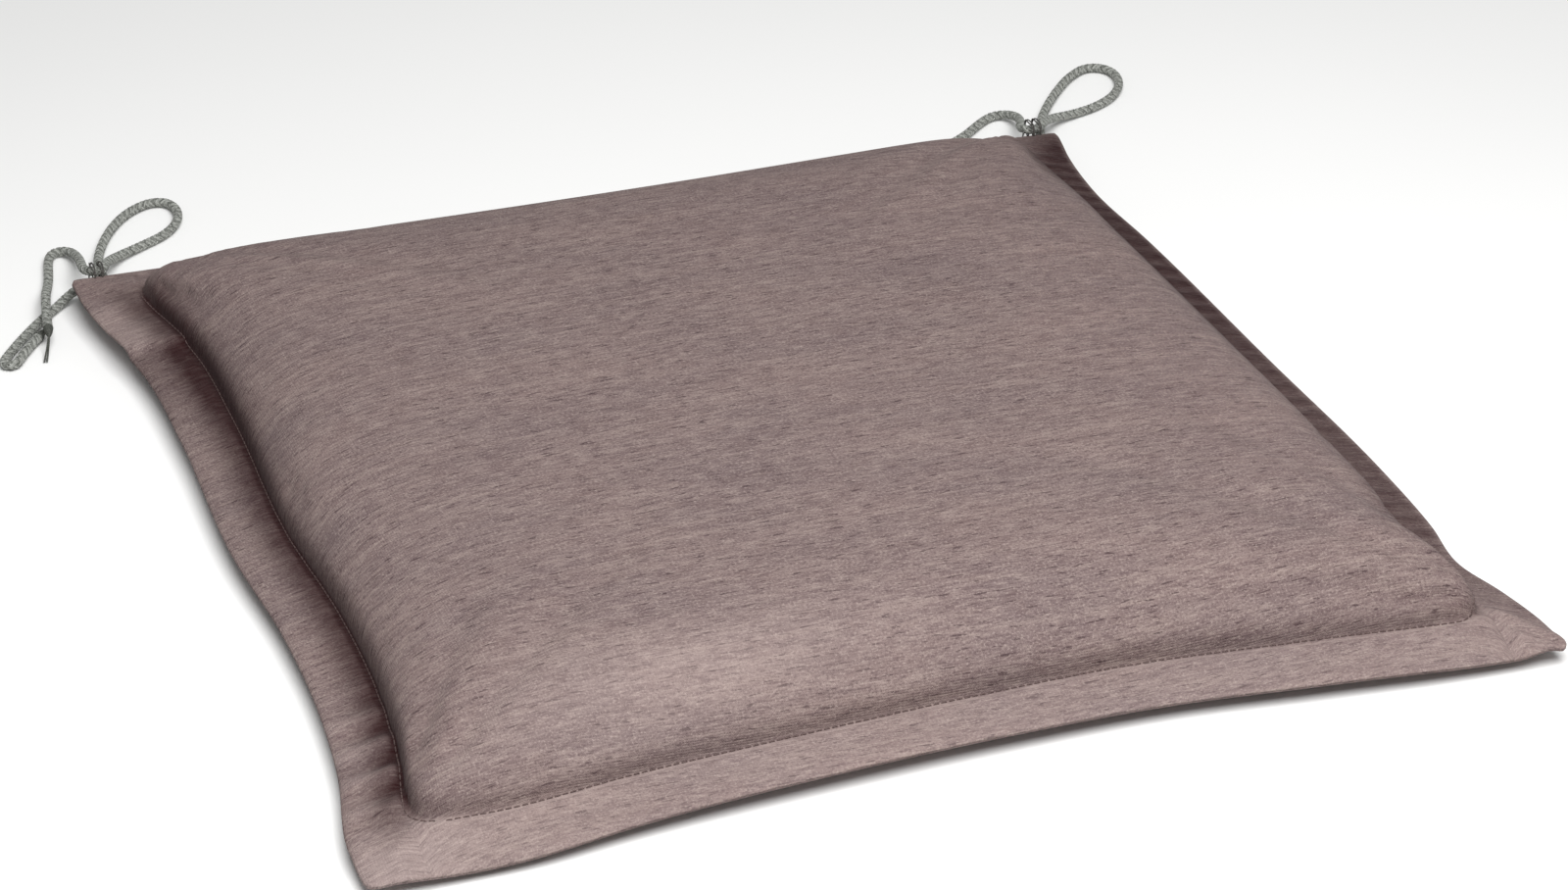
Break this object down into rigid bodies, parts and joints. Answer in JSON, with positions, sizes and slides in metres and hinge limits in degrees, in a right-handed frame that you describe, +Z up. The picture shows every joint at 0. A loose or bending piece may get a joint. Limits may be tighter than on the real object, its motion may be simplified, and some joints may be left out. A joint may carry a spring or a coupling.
{
  "type": "chair seat pad",
  "caption": "Square padded chair seat cushion with a flat topstitched flange and a braided tie cord at each rear corner.",
  "frame": {"origin": "centre of the flat underside that the pad rests on", "axes": "+Z up out of the seat face, +X across the seat, +Y towards the rear edge that carries the tie cords"},
  "size_m": [0.5827, 0.5898, 0.05],
  "materials": {
    "cover_fabric": "matte melange weave",
    "cover_thread": "matte spun thread",
    "foam": "matte foam",
    "wadding": "matte fibre",
    "tie_cord": "matte braid",
    "tie_thread": "matte spun thread"
  },
  "bodies": {
    "root": {"top_panel": "cover_fabric", "bottom_panel": "cover_fabric", "foam_core": "foam", "upper_wadding": "wadding", "lower_wadding": "wadding", "edge_seam_thread": "cover_thread", "topstitch_needle_thread": "cover_thread", "topstitch_bobbin_thread": "cover_thread", "closing_stitch_thread": "cover_thread", "left_tie_tack": "tie_thread", "right_tie_tack": "tie_thread", "left_tie_loop_tail": "tie_cord", "left_tie_loop_tip": "tie_thread", "left_tie_return_tail": "tie_cord", "left_tie_return_tip": "tie_thread", "right_tie_loop_tail": "tie_cord", "right_tie_loop_tip": "tie_thread", "right_tie_return_tail": "tie_cord", "right_tie_return_tip": "tie_thread"}
  },
  "joints": []
}
